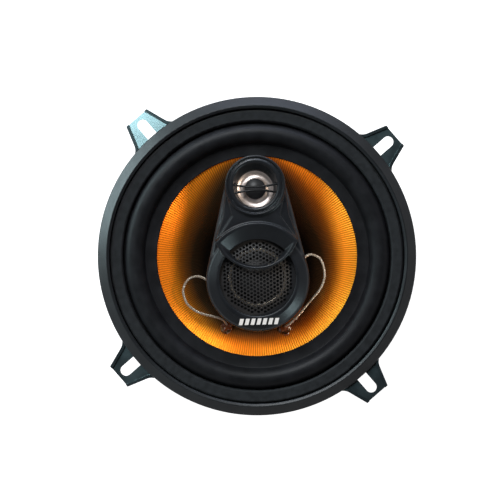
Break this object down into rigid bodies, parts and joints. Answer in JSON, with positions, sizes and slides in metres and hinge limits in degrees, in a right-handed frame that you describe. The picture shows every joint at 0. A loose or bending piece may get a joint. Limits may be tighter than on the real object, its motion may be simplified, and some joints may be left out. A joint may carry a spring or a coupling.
{
  "type": "coaxial car speaker",
  "caption": "Coaxial car speaker with a ribbed cone, rubber surround, a pod holding midrange and tweeter, and a slotted-ear basket.",
  "frame": {"origin": "on the speaker's axis at the rear face of the mounting flange", "axes": "+Z out of the front; the four slotted ears lie on +X, +Y, -X and -Y; the tweeter is at 50.5 degrees from +X and the terminals are at 230.5 degrees"},
  "size_m": [0.1498, 0.1498, 0.0693],
  "materials": {
    "black_steel": "satin black powder coat",
    "bare_steel": "zinc plated steel",
    "ferrite": "dull sintered ferrite",
    "trim_plastic": "satin black moulding",
    "gasket_foam": "matte black",
    "surround_rubber": "matte black",
    "cone_film": "fine radial ribs, orange at the edge to black at the neck",
    "brass": "satin",
    "adhesive": "translucent brown",
    "former_foil": "thin foil",
    "copper": "enamelled copper winding",
    "spider_cloth": "resin-treated cotton",
    "board": "phenolic board",
    "tinsel": "braided tinsel wire",
    "pod_plastic": "moulded black, fine satin grain",
    "grille_metal": "perforated, semi-gloss black",
    "bright_ring": "bright",
    "dome_film": "dark polymer film",
    "chrome_film": "metallised film",
    "capacitor_sleeve": "printed sleeve, blank"
  },
  "bodies": {
    "frame": {"basket": "black_steel", "trim_ring": "trim_plastic", "gasket_ring": "gasket_foam", "surround": "surround_rubber", "spider": "spider_cloth", "top_plate": "bare_steel", "plate_rivets": "bare_steel", "magnet": "ferrite", "pole_yoke": "bare_steel", "terminal_board": "board", "board_rivets": "brass", "tab_rivets": "brass", "terminal_positive": "bare_steel", "terminal_negative": "bare_steel", "rear_lead_positive": "tinsel", "rear_lead_negative": "tinsel", "front_lead_left": "tinsel", "front_lead_right": "tinsel", "pod_base": "pod_plastic", "pod_post": "pod_plastic", "pod_screw": "bare_steel", "pod_nut": "bare_steel", "cover_screws": "bare_steel", "crossover_capacitors": "capacitor_sleeve", "pod_cover": "pod_plastic", "mid_grille": "grille_metal", "mid_frame": "trim_plastic", "mid_pot": "bare_steel", "mid_magnet": "ferrite", "mid_pole_plate": "bare_steel", "mid_surround": "surround_rubber", "mid_ring": "bright_ring", "tweeter_frame": "trim_plastic", "tweeter_pot": "bare_steel", "tweeter_magnet": "bright_ring", "tweeter_pole_plate": "bare_steel", "tweeter_surround": "chrome_film", "tweeter_guard": "pod_plastic"},
    "cone": {"cone": "cone_film", "lead_eyelets": "brass", "lead_dabs": "adhesive", "coil_former": "former_foil", "voice_coil": "copper"},
    "mid_diaphragm": {"mid_coil": "copper", "mid_dome": "dome_film"},
    "tweeter_diaphragm": {"tweeter_coil": "copper", "tweeter_dome": "dome_film"}
  },
  "joints": [
    {"name": "cone_slide", "type": "slide", "parent": "frame", "child": "cone", "axis": [0, 0, 1], "range_m": [-0.003, 0.003], "stiffness_N_per_m": 1200, "deforming": ["surround", "spider", "front_lead_left", "front_lead_right", "rear_lead_positive", "rear_lead_negative"]},
    {"name": "mid_slide", "type": "slide", "parent": "frame", "child": "mid_diaphragm", "axis": [0, 0, 1], "range_m": [-0.0003, 0.0003], "stiffness_N_per_m": 1500},
    {"name": "tweeter_slide", "type": "slide", "parent": "frame", "child": "tweeter_diaphragm", "axis": [0, 0, 1], "range_m": [-0.00015, 0.00015], "stiffness_N_per_m": 1500}
  ]
}
